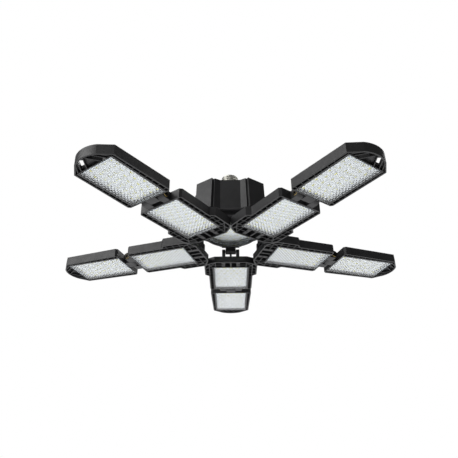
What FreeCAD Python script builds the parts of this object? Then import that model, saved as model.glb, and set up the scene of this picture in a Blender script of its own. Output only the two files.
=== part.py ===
import FreeCAD, Part
import math
import os
import Sketcher
from FreeCAD import Placement, Rotation, Vector

# Ceiling light with a screw base: a star-shaped driver housing, a round lens under it and five
# arms, each made of two hinged LED panels. +Z is up. The origin is on the lamp's axis, at the
# open end of the screw shell, so that everything but the screw base lies below it.

doc = FreeCAD.newDocument("garage_light")

# ---------------------------------------------------------------- driving dimensions (mm, degrees)
DIMENSIONS = [
    ("arm_count", 5),
    # screw base
    ("shell_radius", 13.1),
    ("shell_wall", 0.4),
    ("shell_collar", 4.0),
    ("thread_pitch", 3.62),
    ("thread_turns", 4),
    ("thread_depth", 0.9),
    ("insulator_height", 4.6),
    ("contact_radius", 4.8),
    ("contact_height", 1.6),
    # neck and driver housing
    ("neck_height", 20),
    ("neck_foot_radius", 20),
    ("neck_top_radius", 14.6),
    ("neck_wall", 2.4),
    ("housing_height", 50),
    ("housing_wall", 2.2),
    ("housing_draft", 2.5),
    ("lobe_reach", 65),
    ("lobe_half_width", 14.5),
    ("recess_reach", 55),
    ("recess_half_width", 14.7),
    ("step_depth", 4),
    ("step_width", 2.4),
    ("base_plate", 3),
    ("dish_height", 6),
    ("dish_recess_reach", 48.5),
    ("dish_recess_half", 20),
    ("dish_lobe_root", 51.5),
    ("dish_lobe_reach", 56.5),
    ("dish_lobe_half", 7.4),
    ("ledge_height", 2),
    ("boss_radius", 3.6),
    ("boss_reach", 60),
    ("screw_radius", 1.5),
    ("screw_head_radius", 2.8),
    ("screw_head_height", 1.6),
    ("screw_length", 12),
    # round lamp in the hub
    ("hub_lens_radius", 38),
    ("ring_wall", 2.6),
    ("ring_drop", 7),
    ("cup_depth", 10.5),
    ("board_thickness", 1.6),
    ("chip_height", 0.8),
    ("chip_side", 3),
    ("hub_chip_margin", 6.2),
    ("hub_chip_circles", 3),
    ("hub_sink_plate", 2.5),
    ("hub_sink_fin_height", 7),
    ("hub_sink_fin_width", 2),
    ("hub_sink_fin_pitch", 9),
    ("hub_sink_fin_count", 7),
    ("hub_sink_fin_length", 50),
    ("post_radius", 2.9),
    ("post_half_spread", 16.8),
    ("driver_board_level", 24),
    ("driver_board_length", 64),
    ("driver_board_width", 56),
    ("transformer_side", 24),
    ("transformer_height", 20),
    ("transformer_inset", 4),
    ("winding_inset", 4),
    ("winding_proud", 3),
    ("winding_height", 12),
    ("capacitor_radius", 6),
    ("capacitor_height", 22),
    ("capacitor_pitch", 14),
    ("capacitor_reach", 18.5),
    # hinges
    ("root_hinge_reach", 50.5),
    ("root_hinge_drop", 10),
    ("root_barrel_radius", 4),
    ("tongue_width", 16.2),
    ("lug_width", 5.2),
    ("root_bolt_radius", 2),
    ("root_head_radius", 3),
    ("root_head_height", 2),
    ("mid_barrel_radius", 6),
    ("mid_knuckle_width", 15.8),
    ("end_knuckle_width", 10.5),
    ("mid_bolt_radius", 2.5),
    ("mid_head_radius", 4.2),
    ("mid_head_recess", 2),
    ("head_proud", 0.6),
    ("side_gap", 0.4),
    ("hole_clearance", 0.05),
    # panels
    ("panel_drop", 31),
    ("frame_height", 13),
    ("frame_wall", 2),
    ("channel_depth", 7.1),
    ("floor_thickness", 2),
    ("rib_width", 1),
    ("rib_set_in", 0.4),
    ("mitre_gap", 0.1),
    ("corner_bevel", 3),
    ("panel_half_width", 36),
    ("shoulder_half_width", 42.3),
    ("root_reach", 45),
    ("root_flat_half", 25.5),
    ("root_corner_reach", 52),
    ("root_wall_height", 10.5),
    ("root_slope_start", 56),
    ("root_slope_run", 6),
    ("shoulder_length", 47),
    ("shoulder_slope", 5),
    ("inner_lens_reach", 65.5),
    ("lens_length", 86.2),
    ("lens_width", 53.6),
    ("lens_clearance", 0.2),
    ("lens_face", 2.2),
    ("flange_width", 1.2),
    ("skirt_wall", 1.4),
    ("board_level", 5.5),
    ("pocket_wall", 1.5),
    ("inner_end_margin", 2.8),
    ("hinge_gap", 17.4),
    ("outer_start_margin", 1.6),
    ("outer_end_half_width", 33.5),
    ("outer_side_end", 2),
    ("tip_half_width", 18),
    ("tip_shoulder", 14.5),
    ("tip_reach", 19),
    ("tip_floor_level", 4),
    ("slot_width", 6.5),
    ("slot_angle", 36),
    ("slot_offset", 15.84),
    ("sink_plate", 1.5),
    ("sink_margin", 1.2),
    ("sink_fin_width", 1.4),
    ("sink_fin_pitch", 8),
    ("sink_fin_count", 7),
    ("chip_pitch", 10.4),
    ("chip_row_pitch", 10),
    ("chip_columns", 8),
    ("chip_rows", 5),
    ("root_bar_width", 5.6),
    ("root_bar_offset", 11.8),
    ("root_middle_bar", 2.4),
    ("root_rib_offset", 24),
    ("stop_width", 3.2),
    ("stop_height", 7),
    ("side_rib_pitch", 10.5),
    ("inner_rib_lead", 4),
    ("inner_rib_count", 5),
    ("shoulder_rib_lead", 2),
    ("shoulder_rib_count", 3),
    ("outer_rib_lead", 6),
    ("outer_rib_count", 7),
]

sheet = doc.addObject("Spreadsheet::Sheet", "dims")
for row, (alias, number) in enumerate(DIMENSIONS, 1):
    sheet.set("A%d" % row, alias)
    sheet.set("B%d" % row, str(number))
    sheet.setAlias("B%d" % row, alias)
doc.recompute()


class Size:
    """A size that knows its number and the expression on the sheet's cells that gives it."""

    def __init__(self, value, text):
        self.value = value
        self.text = text

    def __add__(self, other):
        other = size(other)
        return Size(self.value + other.value, "(%s + %s)" % (self.text, other.text))

    def __sub__(self, other):
        other = size(other)
        return Size(self.value - other.value, "(%s - %s)" % (self.text, other.text))

    def __mul__(self, other):
        other = size(other)
        return Size(self.value * other.value, "(%s * %s)" % (self.text, other.text))

    def __truediv__(self, other):
        other = size(other)
        return Size(self.value / other.value, "(%s / %s)" % (self.text, other.text))

    def __radd__(self, other):
        return size(other) + self

    def __rsub__(self, other):
        return size(other) - self

    def __rmul__(self, other):
        return size(other) * self

    def __neg__(self):
        return size(0) - self


def size(number):
    """A Size as it is, or a plain number as a Size."""
    if isinstance(number, Size):
        return number
    return Size(float(number), "(%.9f)" % number)


class Sheet:
    """Every driving dimension by its name."""


dim = Sheet()
for alias, number in DIMENSIONS:
    setattr(dim, alias, Size(float(sheet.get(alias)), "dims." + alias))

ARMS = int(dim.arm_count.value)
SECTOR = 360.0 / ARMS
FIRST_ARM = 90.0
HALF_SECTOR_TAN = Size(math.tan(math.radians(SECTOR / 2)), "tan(180 deg / dims.arm_count)")


# ---------------------------------------------------------------- helpers
def new_body(label):
    body = doc.addObject("PartDesign::Body", label)
    body.Label = label
    return body


def origin_feature(body, role):
    return [item for item in body.Origin.OriginFeatures if item.Role == role][0]


def sketch_on(body, role, offset=None):
    """A sketch on one of the body's own planes, moved along the plane's normal."""
    sketch = body.newObject("Sketcher::SketchObject", body.Name + "_sketch")
    sketch.AttachmentSupport = [(origin_feature(body, role), "")]
    sketch.MapMode = "FlatFace"
    if offset is not None:
        sketch.setExpression(".AttachmentOffset.Base.z", size(offset).text)
    return sketch


def hold_along(sketch, geometry, vertex, kind, distance):
    """Ties one coordinate of a sketch point to the sheet."""
    if abs(distance.value) < 1e-9:
        axis = -2 if kind == "DistanceX" else -1
        sketch.addConstraint(Sketcher.Constraint("PointOnObject", geometry, vertex, axis))
        return
    index = sketch.addConstraint(
        Sketcher.Constraint(kind, -1, 1, geometry, vertex, distance.value))
    sketch.setExpression("Constraints[%d]" % index, distance.text)


def hold(sketch, geometry, vertex, x, y):
    """Ties a sketch point to the sheet by its distances from the two axes."""
    hold_along(sketch, geometry, vertex, "DistanceX", size(x))
    hold_along(sketch, geometry, vertex, "DistanceY", size(y))


def outline(sketch, corners):
    """A closed outline of straight runs. A corner with a third item, the centre of an arc, starts
    an arc to the next corner, anticlockwise."""
    first = sketch.GeometryCount
    points = [(size(corner[0]), size(corner[1])) for corner in corners]
    edges = []
    for index, corner in enumerate(corners):
        start = points[index]
        end = points[(index + 1) % len(points)]
        a = Vector(start[0].value, start[1].value, 0)
        b = Vector(end[0].value, end[1].value, 0)
        if len(corner) == 3:
            centre = Vector(size(corner[2][0]).value, size(corner[2][1]).value, 0)
            from_angle = math.atan2(a.y - centre.y, a.x - centre.x)
            to_angle = math.atan2(b.y - centre.y, b.x - centre.x)
            if to_angle <= from_angle:
                to_angle += 2 * math.pi
            circle = Part.Circle(centre, Vector(0, 0, 1), a.distanceToPoint(centre))
            edges.append(Part.ArcOfCircle(circle, from_angle, to_angle))
        else:
            edges.append(Part.LineSegment(a, b))
    sketch.addGeometry(edges, False)
    joins = []
    for index in range(len(edges)):
        following = first + (index + 1) % len(edges)
        joins.append(Sketcher.Constraint("Coincident", first + index, 2, following, 1))
    sketch.addConstraint(joins)
    for index, corner in enumerate(corners):
        hold(sketch, first + index, 1, *points[index])
        if len(corner) == 3:
            end = points[(index + 1) % len(points)]
            level_chord = abs((end[0] - points[index][0]).value) > abs(
                (end[1] - points[index][1]).value)
            kind, place = ("DistanceY", 1) if level_chord else ("DistanceX", 0)
            hold_along(sketch, first + index, 3, kind, size(corner[2][place]))


def ring(sketch, x, y, radius):
    """A circle about (x, y)."""
    x, y, radius = size(x), size(y), size(radius)
    centre = Vector(x.value, y.value, 0)
    index = sketch.addGeometry(Part.Circle(centre, Vector(0, 0, 1), radius.value), False)
    hold(sketch, index, 3, x, y)
    place = sketch.addConstraint(Sketcher.Constraint("Radius", index, radius.value))
    sketch.setExpression("Constraints[%d]" % place, radius.text)


def box_corners(x0, x1, y0, y1):
    return [(x0, y0), (x1, y0), (x1, y1), (x0, y1)]


def check_change(body, feature, grows):
    """Stops the build when a feature didn't add, or didn't take away, any material."""
    doc.recompute()
    before = feature.BaseFeature.Shape.Volume if feature.BaseFeature else 0.0
    change = feature.Shape.Volume - before
    if feature.Shape.isNull() or (change <= 0 if grows else change >= 0):
        raise RuntimeError("%s: %s changed nothing" % (body.Label, feature.Name))


def pad(body, sketch, length, symmetric=False, down=False):
    """Adds material from the sketch, up its normal."""
    feature = body.newObject("PartDesign::Pad", body.Name + "_pad")
    feature.Profile = sketch
    feature.setExpression("Length", size(length).text)
    if symmetric:
        feature.SideType = "Symmetric"
    feature.Reversed = down
    check_change(body, feature, True)
    return feature


def pocket(body, sketch, length, symmetric=False, up=False):
    """Takes material away from the sketch, against its normal, or along it with up."""
    feature = body.newObject("PartDesign::Pocket", body.Name + "_pocket")
    feature.Profile = sketch
    feature.setExpression("Length", size(length).text)
    if symmetric:
        feature.SideType = "Symmetric"
    feature.Reversed = up
    check_change(body, feature, False)
    return feature


def revolve(body, corners):
    """Turns an outline of (radius, height) points about the lamp's axis."""
    sketch = sketch_on(body, "XZ_Plane")
    outline(sketch, corners)
    feature = body.newObject("PartDesign::Revolution", body.Name + "_turn")
    feature.Profile = sketch
    feature.ReferenceAxis = (sketch, ["V_Axis"])
    feature.Angle = 360
    check_change(body, feature, True)
    return feature


def repeat_along(body, feature, role, span, count, down=False):
    """Repeats a feature in a line along one of the body's axes."""
    pattern = body.newObject("PartDesign::LinearPattern", body.Name + "_row")
    pattern.Originals = [feature]
    pattern.Direction = (origin_feature(body, role), [""])
    pattern.Reversed = down
    pattern.setExpression("Length", size(span).text)
    pattern.setExpression("Occurrences", size(count).text)
    body.Tip = pattern
    check_change(body, pattern, True)
    return pattern


def repeat_around(body, features, count):
    """Repeats features evenly about the lamp's axis."""
    pattern = body.newObject("PartDesign::PolarPattern", body.Name + "_circle")
    pattern.Originals = features
    pattern.Axis = (origin_feature(body, "Z_Axis"), [""])
    pattern.Angle = 360
    pattern.setExpression("Occurrences", size(count).text)
    body.Tip = pattern
    check_change(body, pattern, True)


def turned(x, y, degrees):
    """The point (x, y) turned about the lamp's axis."""
    cosine = math.cos(math.radians(degrees))
    sine = math.sin(math.radians(degrees))
    x, y = size(x), size(y)
    return x * cosine - y * sine, x * sine + y * cosine


# ---------------------------------------------------------------- levels, from the origin down
housing_top = -dim.neck_height
housing_bottom = housing_top - dim.housing_height
plate_top = housing_bottom + dim.base_plate
base_bottom = housing_bottom - dim.dish_height
rim_level = base_bottom - dim.panel_drop
root_hinge_level = dim.panel_drop - dim.root_hinge_drop          # above the panels' rim plane
lug_face = dim.tongue_width / 2 + dim.side_gap + dim.lug_width   # outer face, from the arm's middle
mid_hinge_level = dim.frame_height / 2


# ---------------------------------------------------------------- hub
def star(inset, spread):
    """Outline of the housing, inset and spread by its draft: a flat lobe over each arm, a flat
    recess between two arms, and between them a small step and a slanting flank."""
    flank_share, step_share = 0.27, 0.36           # by which an inset widens the recess and the step
    lobe_reach = dim.lobe_reach + spread - inset
    lobe_half = dim.lobe_half_width - inset
    step_foot = lobe_reach - dim.step_depth
    step_half = lobe_half + dim.step_width + step_share * inset
    recess_reach = dim.recess_reach + spread - inset
    recess_half = dim.recess_half_width + flank_share * inset
    corners = []
    for arm in range(ARMS):
        azimuth = FIRST_ARM + arm * SECTOR
        between = azimuth + SECTOR / 2
        corners.append(turned(step_foot, -step_half, azimuth))
        corners.append(turned(step_foot, -lobe_half, azimuth))
        corners.append(turned(lobe_reach, -lobe_half, azimuth))
        corners.append(turned(lobe_reach, lobe_half, azimuth))
        corners.append(turned(step_foot, lobe_half, azimuth))
        corners.append(turned(step_foot, step_half, azimuth))
        corners.append(turned(recess_reach, -recess_half, between))
        corners.append(turned(recess_reach, recess_half, between))
    return corners


def dish_outline():
    """Outline of the hub's lower part: five flat sides and a short square lobe over each hinge."""
    corners = []
    for arm in range(ARMS):
        azimuth = FIRST_ARM + arm * SECTOR
        between = azimuth + SECTOR / 2
        corners.append(turned(dim.dish_lobe_root, -dim.dish_lobe_half, azimuth))
        corners.append(turned(dim.dish_lobe_reach, -dim.dish_lobe_half, azimuth))
        corners.append(turned(dim.dish_lobe_reach, dim.dish_lobe_half, azimuth))
        corners.append(turned(dim.dish_lobe_root, dim.dish_lobe_half, azimuth))
        corners.append(turned(dim.dish_recess_reach, -dim.dish_recess_half, between))
        corners.append(turned(dim.dish_recess_reach, dim.dish_recess_half, between))
    return corners


def star_loft(body, kind, grows, inset, bottom, top):
    """A drafted star between two levels, inset from the housing's outside."""
    lower = sketch_on(body, "XY_Plane", bottom)
    outline(lower, star(inset, dim.housing_draft))
    upper = sketch_on(body, "XY_Plane", top)
    outline(upper, star(inset, 0))
    loft = body.newObject(kind, body.Name + "_loft")
    loft.Profile = lower
    loft.Sections = [upper]
    loft.Ruled = True
    check_change(body, loft, grows)


def arm_circles(sketch, reach, radius):
    """One circle per arm, on the arm's centre line."""
    for arm in range(ARMS):
        x, y = turned(reach, 0, FIRST_ARM + arm * SECTOR)
        ring(sketch, x, y, radius)


cup_radius = dim.hub_lens_radius + dim.ring_wall
hub_chip_pitch = (dim.hub_lens_radius - dim.hub_chip_margin) / dim.hub_chip_circles
spigot_radius = dim.shell_radius - dim.shell_wall - dim.hole_clearance
ring_bottom = base_bottom - dim.ring_drop
ledge_level = base_bottom + dim.ledge_height
hub_board_level = ring_bottom + dim.ring_wall / 2 + dim.cup_depth
driver_level = base_bottom + dim.driver_board_level


def make_driver_housing():
    """Moulded shell, open below, with a full-height screw boss inside each lobe."""
    body = new_body("driver_housing")
    star_loft(body, "PartDesign::AdditiveLoft", True, 0, housing_bottom, housing_top)
    star_loft(body, "PartDesign::SubtractiveLoft", False, dim.housing_wall,
              housing_bottom, housing_top - dim.housing_wall)
    bosses = sketch_on(body, "XY_Plane", plate_top)
    arm_circles(bosses, dim.boss_reach, dim.boss_radius)
    pad(body, bosses, housing_top - dim.housing_wall / 2 - plate_top)
    holes = sketch_on(body, "XY_Plane", plate_top)
    arm_circles(holes, dim.boss_reach, dim.screw_radius + dim.hole_clearance)
    pocket(body, holes, dim.screw_length - dim.base_plate, up=True)
    opening = sketch_on(body, "XY_Plane", housing_top)
    ring(opening, 0, 0, spigot_radius + dim.hole_clearance)
    pocket(body, opening, 2 * dim.housing_wall)


def make_hub_base():
    """Star-shaped plate in the housing's mouth and a dish under it, with a stepped round opening
    for the lens cup and a hinge tongue over each arm."""
    body = new_body("hub_base")
    plate = sketch_on(body, "XY_Plane", housing_bottom)
    outline(plate, star(dim.housing_wall + dim.side_gap, dim.housing_draft))
    pad(body, plate, dim.base_plate)
    dish = sketch_on(body, "XY_Plane", housing_bottom)
    outline(dish, dish_outline())
    pad(body, dish, dim.dish_height, down=True)
    opening = sketch_on(body, "XY_Plane", base_bottom)
    ring(opening, 0, 0, cup_radius + dim.hole_clearance)
    pocket(body, opening, dim.dish_height + dim.base_plate, up=True)
    seat = sketch_on(body, "XY_Plane", ledge_level)
    ring(seat, 0, 0, cup_radius + dim.ring_wall + dim.hole_clearance)
    pocket(body, seat, dim.dish_height + dim.base_plate, up=True)
    shafts = sketch_on(body, "XY_Plane", housing_bottom)
    arm_circles(shafts, dim.boss_reach, dim.screw_radius + dim.hole_clearance)
    pocket(body, shafts, dim.base_plate, up=True)
    heads = sketch_on(body, "XY_Plane", housing_bottom)
    arm_circles(heads, dim.boss_reach, dim.screw_head_radius + dim.hole_clearance)
    pocket(body, heads, dim.screw_head_height, up=True)

    axis_level = base_bottom - dim.root_hinge_drop
    near = dim.root_hinge_reach - dim.root_barrel_radius
    far = dim.root_hinge_reach + dim.root_barrel_radius
    side = sketch_on(body, "YZ_Plane")
    outline(side, [
        (near, axis_level, (dim.root_hinge_reach, axis_level)),
        (far, axis_level),
        (far, base_bottom + dim.ledge_height),
        (near, base_bottom + dim.ledge_height),
    ])
    tongue = pad(body, side, dim.tongue_width, symmetric=True)
    bore = sketch_on(body, "YZ_Plane")
    ring(bore, dim.root_hinge_reach, axis_level, dim.root_bolt_radius + dim.hole_clearance)
    hole = pocket(body, bore, 2 * dim.tongue_width, symmetric=True)
    repeat_around(body, [tongue, hole], dim.arm_count)


def make_lamp_neck():
    """Hollow cone from the housing's top to the screw shell, with a spigot at each end."""
    body = new_body("lamp_neck")
    bore = spigot_radius - dim.neck_wall
    foot = housing_top + dim.housing_wall
    revolve(body, [
        (bore, housing_top - dim.housing_wall),
        (spigot_radius, housing_top - dim.housing_wall),
        (spigot_radius, housing_top),
        (dim.neck_foot_radius, housing_top),
        (dim.neck_foot_radius, foot),
        (dim.neck_foot_radius - dim.neck_wall, foot + dim.neck_wall),
        (dim.neck_top_radius, -dim.neck_wall),
        (dim.neck_top_radius, 0),
        (spigot_radius, 0),
        (spigot_radius, dim.shell_collar - dim.shell_wall),
        (bore, dim.shell_collar - dim.shell_wall),
    ])


thread_top = dim.shell_collar + dim.thread_pitch * dim.thread_turns
shell_top = thread_top + dim.shell_collar / 2
shell_mouth = dim.contact_radius + 3 * dim.thread_depth


def make_screw_shell():
    """Rolled screw shell: a plain collar, rounded thread turns and a drawn-in top."""
    body = new_body("screw_shell")
    root = dim.shell_radius - dim.thread_depth
    inside = root - dim.shell_wall
    valley_start, valley_end, crest_start = 0.35, 0.55, 0.85       # shares of the pitch
    corners = [(dim.shell_radius - dim.shell_wall, 0), (dim.shell_radius, 0),
               (dim.shell_radius, dim.shell_collar)]
    for turn in range(int(dim.thread_turns.value)):
        foot = dim.shell_collar + turn * dim.thread_pitch
        corners.append((root, foot + valley_start * dim.thread_pitch))
        corners.append((root, foot + valley_end * dim.thread_pitch))
        corners.append((dim.shell_radius, foot + crest_start * dim.thread_pitch))
        corners.append((dim.shell_radius, foot + dim.thread_pitch))
    corners.extend([
        (shell_mouth, shell_top),
        (shell_mouth, shell_top - 2 * dim.shell_wall),
        (inside, thread_top - dim.shell_wall),
        (inside, dim.shell_collar),
        (dim.shell_radius - dim.shell_wall, dim.shell_collar),
    ])
    revolve(body, corners)


def make_base_end():
    """The black insulator in the shell's mouth and the centre contact on top of it."""
    insulator = new_body("shell_insulator")
    seat = shell_mouth - dim.hole_clearance
    top = shell_top + dim.insulator_height - 2 * dim.shell_wall
    revolve(insulator, [
        (0, shell_top - dim.insulator_height / 2),
        (seat, shell_top - dim.insulator_height / 2),
        (seat, shell_top),
        (dim.contact_radius + dim.shell_wall, top),
        (0, top),
    ])
    contact = new_body("base_contact")
    rim_share, rim_rise, crown_share = 0.85, 0.7, 0.4              # of the contact's own size
    revolve(contact, [
        (0, top),
        (dim.contact_radius, top),
        (rim_share * dim.contact_radius, top + rim_rise * dim.contact_height),
        (crown_share * dim.contact_radius, top + dim.contact_height),
        (0, top + dim.contact_height),
    ])


def make_round_lamp():
    """Lens cup, round lens, LED board and heat sink, stacked in the hub base."""
    cup = new_body("hub_lens_ring")
    lip = dim.ring_wall / 2
    bore = dim.hub_lens_radius + dim.lens_clearance
    flange = ledge_level + dim.ring_wall / 2
    cup_top = hub_board_level + dim.board_thickness
    revolve(cup, [
        (dim.hub_lens_radius - lip, ring_bottom),
        (cup_radius, ring_bottom),
        (cup_radius, ledge_level),
        (cup_radius + dim.ring_wall, ledge_level),
        (cup_radius + dim.ring_wall, flange),
        (cup_radius, flange),
        (cup_radius, cup_top),
        (bore, cup_top),
        (bore, ring_bottom + lip),
        (dim.hub_lens_radius - lip, ring_bottom + lip),
    ])
    lens = new_body("hub_lens")
    face = ring_bottom + lip / 2
    inside = ring_bottom + lip + dim.lens_face
    revolve(lens, [
        (0, face),
        (dim.hub_lens_radius - lip - dim.lens_clearance, face),
        (dim.hub_lens_radius - lip - dim.lens_clearance, ring_bottom + lip),
        (dim.hub_lens_radius, ring_bottom + lip),
        (dim.hub_lens_radius, hub_board_level),
        (dim.hub_lens_radius - dim.skirt_wall, hub_board_level),
        (dim.hub_lens_radius - dim.skirt_wall, inside),
        (0, inside),
    ])
    board = new_body("hub_led_board")
    disc = sketch_on(board, "XY_Plane", hub_board_level)
    ring(disc, 0, 0, dim.hub_lens_radius)
    pad(board, disc, dim.board_thickness)
    half = dim.chip_side / 2
    chips_per_step = 6
    for circle in range(int(dim.hub_chip_circles.value) + 1):
        reach = hub_chip_pitch * circle
        chip = sketch_on(board, "XY_Plane", hub_board_level)
        outline(chip, box_corners(reach - half, reach + half, -half, half))
        first = pad(board, chip, dim.chip_height, down=True)
        if circle:
            repeat_around(board, [first], chips_per_step * circle)

    sink = new_body("hub_heat_sink")
    plate_level = hub_board_level + dim.board_thickness
    plate = sketch_on(sink, "XY_Plane", plate_level)
    ring(plate, 0, 0, dim.hub_lens_radius)
    pad(sink, plate, dim.hub_sink_plate)
    fin_level = plate_level + dim.hub_sink_plate
    fin = sketch_on(sink, "XY_Plane", fin_level)
    reach = dim.hub_sink_fin_length / 2
    span = dim.hub_sink_fin_pitch * (dim.hub_sink_fin_count - 1)
    first = -span / 2 - dim.hub_sink_fin_width / 2
    outline(fin, box_corners(-reach, reach, first, first + dim.hub_sink_fin_width))
    row = pad(sink, fin, dim.hub_sink_fin_height)
    repeat_along(sink, row, "Y_Axis", span, dim.hub_sink_fin_count)
    posts = sketch_on(sink, "XY_Plane", fin_level)
    for x_side in (-1, 1):
        for y_side in (-1, 1):
            ring(posts, x_side * (dim.driver_board_length / 2 - dim.boss_radius),
                 y_side * dim.post_half_spread, dim.post_radius)
    pad(sink, posts, driver_level - fin_level)


def make_driver():
    """Driver board on the heat sink's posts, with its transformer and its capacitors."""
    board = new_body("driver_board")
    sketch = sketch_on(board, "XY_Plane", driver_level)
    length, width = dim.driver_board_length / 2, dim.driver_board_width / 2
    outline(sketch, box_corners(-length, length, -width, width))
    pad(board, sketch, dim.board_thickness)
    parts_level = driver_level + dim.board_thickness

    transformer = new_body("transformer")
    half = dim.transformer_side / 2
    core = sketch_on(transformer, "XY_Plane", parts_level)
    core_start = -length + dim.transformer_inset
    core_end = core_start + dim.transformer_side
    outline(core, box_corners(core_start, core_end, -half, half))
    pad(transformer, core, dim.transformer_height)
    winding_level = parts_level + (dim.transformer_height - dim.winding_height) / 2
    winding_half = half + dim.winding_proud
    winding = sketch_on(transformer, "XY_Plane", winding_level)
    outline(winding, box_corners(core_start + dim.winding_inset, core_end - dim.winding_inset,
                                 -winding_half, winding_half))
    pad(transformer, winding, dim.winding_height)

    cans = []
    for index in range(3):
        place = (index - 1) * dim.capacitor_pitch
        can = doc.addObject("Part::Cylinder", "capacitor_can_%d" % (index + 1))
        can.setExpression("Radius", dim.capacitor_radius.text)
        can.setExpression("Height", dim.capacitor_height.text)
        can.Placement = Placement(
            Vector(dim.capacitor_reach.value, place.value, parts_level.value), Rotation())
        cans.append(can)
    collect("capacitors", cans)


def collect(label, pieces):
    """Puts separate solids that share one node into one group."""
    group = doc.addObject("Part::Compound", label)
    group.Label = label
    group.Links = pieces
    return group


def rod(name, radius, length, place):
    """A round bar that starts at place and runs along its own Z."""
    bar = doc.addObject("Part::Cylinder", name)
    bar.setExpression("Radius", size(radius).text)
    bar.setExpression("Height", size(length).text)
    bar.Placement = place
    return bar


def joined(name, first, second):
    fused = doc.addObject("Part::Fuse", name)
    fused.Base = first
    fused.Tool = second
    return fused


def across(azimuth, reach, start, level):
    """A place on an arm, from which an axle runs across the arm."""
    x, y = turned(reach, start, azimuth)
    turn = Rotation(Vector(0, 0, 1), azimuth) * Rotation(Vector(1, 0, 0), -90)
    return Placement(Vector(x.value, y.value, size(level).value), turn)


def axle(name, azimuth, reach, level, half_span, radius, head_radius, head_height):
    """A bolt across an arm, from its head to its nut, as two solids that meet at the nut."""
    shaft_start = -half_span - head_height / 2
    shaft = rod(name + "_shaft", radius, 2 * half_span + head_height / 2,
                across(azimuth, reach, shaft_start, level))
    head = rod(name + "_head", head_radius, head_height,
               across(azimuth, reach, -half_span - head_height, level))
    bolt = joined(name + "_bolt", shaft, head)
    nut = rod(name + "_nut", head_radius, head_height, across(azimuth, reach, half_span, level))
    return [bolt, nut]


def make_hub_fasteners():
    """Five housing screws, and five root hinge bolts that turn in the arms' lugs."""
    screws = []
    for arm in range(ARMS):
        x, y = turned(dim.boss_reach, 0, FIRST_ARM + arm * SECTOR)
        place = Placement(Vector(x.value, y.value, housing_bottom.value), Rotation())
        name = "housing_screw_%d" % (arm + 1)
        shaft = rod(name + "_shaft", dim.screw_radius, dim.screw_length, place)
        head = rod(name + "_head", dim.screw_head_radius, dim.screw_head_height, place)
        screws.append(joined(name, shaft, head))
    collect("housing_screws", screws)

    bolts = []
    half_span = lug_face - dim.root_head_height
    for arm in range(ARMS):
        bolts.extend(axle("root_axle_%d" % (arm + 1), FIRST_ARM + arm * SECTOR,
                          dim.root_hinge_reach, base_bottom - dim.root_hinge_drop, half_span,
                          dim.root_bolt_radius, dim.root_head_radius, dim.root_head_height))
    collect("root_hinge_bolts", bolts)


# ---------------------------------------------------------------- panels
# A panel is modelled along +X, with its rim plane at height 0, and then turned to its arm.
inner_lens_end = dim.inner_lens_reach + dim.lens_length
inner_end = inner_lens_end + dim.inner_end_margin
outer_start = inner_end + dim.hinge_gap
outer_lens_reach = outer_start + dim.outer_start_margin
outer_lens_end = outer_lens_reach + dim.lens_length
mid_hinge_reach = inner_end + dim.hinge_gap / 2
floor_top = dim.channel_depth + dim.floor_thickness
flange_half = dim.lens_width / 2 + dim.flange_width
module_half = flange_half + dim.pocket_wall


def place_on_arm(item, azimuth):
    item.Placement = Placement(Vector(0, 0, rim_level.value),
                               Rotation(Vector(0, 0, 1), azimuth))


def mirrored(corners):
    """The same outline on the other side of the arm's centre line."""
    return [(x, -size(y)) for x, y in reversed(corners)]


def both_sides(sketch, corners):
    outline(sketch, corners)
    outline(sketch, mirrored(corners))


def strip(x0, y0, x1, y1, width):
    """Outline of a straight rib of one width between two points."""
    x0, y0, x1, y1 = size(x0), size(y0), size(x1), size(y1)
    run = math.hypot(x1.value - x0.value, y1.value - y0.value)
    across_x = -(y1.value - y0.value) / run / 2
    across_y = (x1.value - x0.value) / run / 2
    width = size(width)
    return [(x0 - width * across_x, y0 - width * across_y),
            (x1 - width * across_x, y1 - width * across_y),
            (x1 + width * across_x, y1 + width * across_y),
            (x0 + width * across_x, y0 + width * across_y)]


def lens_openings(body, start, end):
    """The window for the lens face, and the wider pocket behind it for flange and board."""
    window = sketch_on(body, "XY_Plane")
    half = dim.lens_width / 2
    outline(window, box_corners(start, end, -half, half))
    pocket(body, window, dim.frame_height, up=True)
    seat = sketch_on(body, "XY_Plane", dim.lens_face)
    outline(seat, box_corners(start, end, -flange_half, flange_half))
    pocket(body, seat, dim.frame_height, up=True)


def ribs(body, outlines, start, set_in, overlap=0.3):
    """Ribs in the channel, from a little above the rim up into the channel's floor."""
    sketch = sketch_on(body, "XY_Plane", set_in)
    for corners in outlines:
        outline(sketch, corners)
    return pad(body, sketch, start - set_in + overlap)


def knuckle(body, centre_y, width, root_x, towards_hub):
    """A hinge knuckle: a round end on the hinge axis and a web back to the frame's end wall."""
    half_height = dim.mid_barrel_radius
    low = mid_hinge_level - half_height
    high = mid_hinge_level + half_height
    sketch = sketch_on(body, "XZ_Plane", -size(centre_y))
    axis = (mid_hinge_reach, mid_hinge_level)
    if towards_hub:
        outline(sketch, [(mid_hinge_reach, high, axis), (mid_hinge_reach, low),
                         (root_x, low), (root_x, high)])
    else:
        outline(sketch, [(mid_hinge_reach, low, axis), (mid_hinge_reach, high),
                         (root_x, high), (root_x, low)])
    pad(body, sketch, width, symmetric=True)


def bore_across(body, reach, level, radius, width):
    sketch = sketch_on(body, "XZ_Plane")
    ring(sketch, reach, level, radius)
    pocket(body, sketch, width, symmetric=True)


knuckle_offset = dim.mid_knuckle_width / 2 + dim.side_gap + dim.end_knuckle_width / 2
mid_half_span = knuckle_offset + dim.end_knuckle_width / 2


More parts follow.
